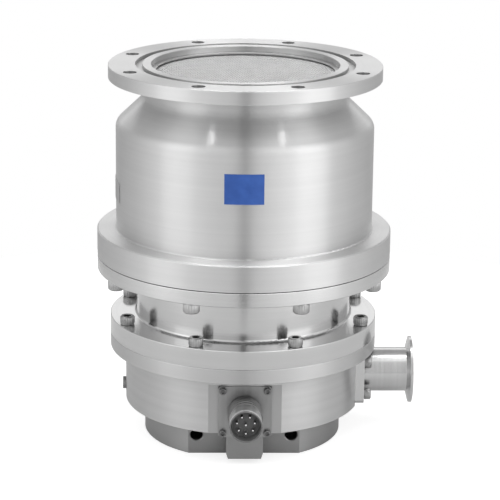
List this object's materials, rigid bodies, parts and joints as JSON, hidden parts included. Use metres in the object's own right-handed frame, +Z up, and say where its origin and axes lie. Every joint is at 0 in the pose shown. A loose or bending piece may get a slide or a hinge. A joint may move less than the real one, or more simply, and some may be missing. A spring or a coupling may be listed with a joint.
{
  "type": "turbomolecular pump",
  "caption": "Upright flanged turbomolecular vacuum pump: screened top inlet, stepped round housing on a necked spool, side exhaust port, front round connector and a levitated bladed rotor.",
  "frame": {"origin": "centre of the foot's underside, on the rotor axis", "axes": "+Z up along the rotor axis to the inlet flange, +X along the exhaust port, -Y along the connector"},
  "size_m": [0.354, 0.3412, 0.418],
  "materials": {
    "casing_steel": "fine turned stainless steel",
    "spool_steel": "bright turned metal",
    "base_aluminium": "satin machined aluminium",
    "screen_wire": "woven stainless wire",
    "spring_steel": "bright spring steel",
    "fastener_steel": "stainless screws",
    "port_steel": "turned stainless steel",
    "seal_rubber": "black moulded rubber",
    "plate_aluminium": "bead-blasted plate",
    "shell_metal": "dull plated shell",
    "insert_plastic": "black moulded resin",
    "pin_metal": "gold-plated contacts",
    "nameplate_foil": "blank satin foil",
    "label_foil": "blank foil label",
    "rotor_aluminium": "milled aluminium",
    "stator_aluminium": "milled aluminium",
    "shaft_steel": "ground steel",
    "magnet_alloy": "plated magnet",
    "core_steel": "stacked laminations",
    "coil_copper": "enamelled copper winding",
    "sensor_resin": "potted coil ring",
    "bearing_steel": "ground bearing steel",
    "ball_ceramic": "polished ceramic"
  },
  "bodies": {
    "housing": {"pump_casing": "casing_steel", "inlet_screen": "screen_wire", "inlet_screen_ring": "spring_steel", "casing_seal": "seal_rubber", "exhaust_spool": "spool_steel", "casing_screws": "fastener_steel", "base_screws": "fastener_steel", "thread_stator": "stator_aluminium", "base_body": "base_aluminium", "base_seal": "seal_rubber", "bottom_cover": "base_aluminium", "cover_gasket": "seal_rubber", "cover_screws": "fastener_steel", "exhaust_port": "port_steel", "exhaust_seal": "seal_rubber", "exhaust_screws": "fastener_steel", "connector_plate": "plate_aluminium", "connector_shell": "shell_metal", "connector_insert": "insert_plastic", "connector_pins": "pin_metal", "connector_screws": "fastener_steel", "wiring_duct": "base_aluminium", "purge_plug": "fastener_steel", "nameplate": "nameplate_foil", "front_label": "label_foil", "spacer_ring_1": "stator_aluminium", "stator_disc_1": "stator_aluminium", "spacer_ring_2": "stator_aluminium", "stator_disc_2": "stator_aluminium", "spacer_ring_3": "stator_aluminium", "stator_disc_3": "stator_aluminium", "spacer_ring_4": "stator_aluminium", "stator_disc_4": "stator_aluminium", "spacer_ring_5": "stator_aluminium", "bearing_column": "stator_aluminium", "column_screws": "fastener_steel", "bearing_plate": "stator_aluminium", "lower_axial_magnet": "core_steel", "upper_axial_magnet": "core_steel", "axial_coils": "coil_copper", "lower_radial_magnet": "core_steel", "lower_radial_coils": "coil_copper", "lower_sensor_ring": "sensor_resin", "upper_radial_magnet": "core_steel", "upper_radial_coils": "coil_copper", "upper_sensor_ring": "sensor_resin", "motor_core": "core_steel", "motor_windings": "coil_copper", "upper_touchdown_outer_ring": "bearing_steel", "lower_touchdown_outer_ring": "bearing_steel"},
    "rotor": {"turbine_rotor": "rotor_aluminium", "rotor_shaft": "shaft_steel", "rotor_screws": "fastener_steel", "thrust_disc": "shaft_steel", "motor_magnet": "magnet_alloy"},
    "upper_touchdown_race": {"upper_touchdown_inner_ring": "bearing_steel"},
    "upper_touchdown_ball_set": {"upper_touchdown_balls": "ball_ceramic"},
    "lower_touchdown_race": {"lower_touchdown_inner_ring": "bearing_steel"},
    "lower_touchdown_ball_set": {"lower_touchdown_balls": "ball_ceramic"}
  },
  "joints": [
    {"name": "rotor_spin", "type": "hinge", "parent": "housing", "child": "rotor", "pos_m": [0, 0, 0.25], "axis": [0, 0, 1], "continuous": true},
    {"name": "upper_race_spin", "type": "hinge", "parent": "housing", "child": "upper_touchdown_race", "pos_m": [0, 0, 0.285], "axis": [0, 0, 1], "continuous": true},
    {"name": "upper_ball_orbit", "type": "hinge", "parent": "housing", "child": "upper_touchdown_ball_set", "pos_m": [0, 0, 0.285], "axis": [0, 0, 1], "continuous": true},
    {"name": "lower_race_spin", "type": "hinge", "parent": "housing", "child": "lower_touchdown_race", "pos_m": [0, 0, 0.051], "axis": [0, 0, 1], "continuous": true},
    {"name": "lower_ball_orbit", "type": "hinge", "parent": "housing", "child": "lower_touchdown_ball_set", "pos_m": [0, 0, 0.051], "axis": [0, 0, 1], "continuous": true}
  ],
  "couplings": [
    {"joint": "upper_ball_orbit", "follows": "upper_race_spin", "ratio": 0.4222},
    {"joint": "lower_ball_orbit", "follows": "lower_race_spin", "ratio": 0.4222}
  ]
}
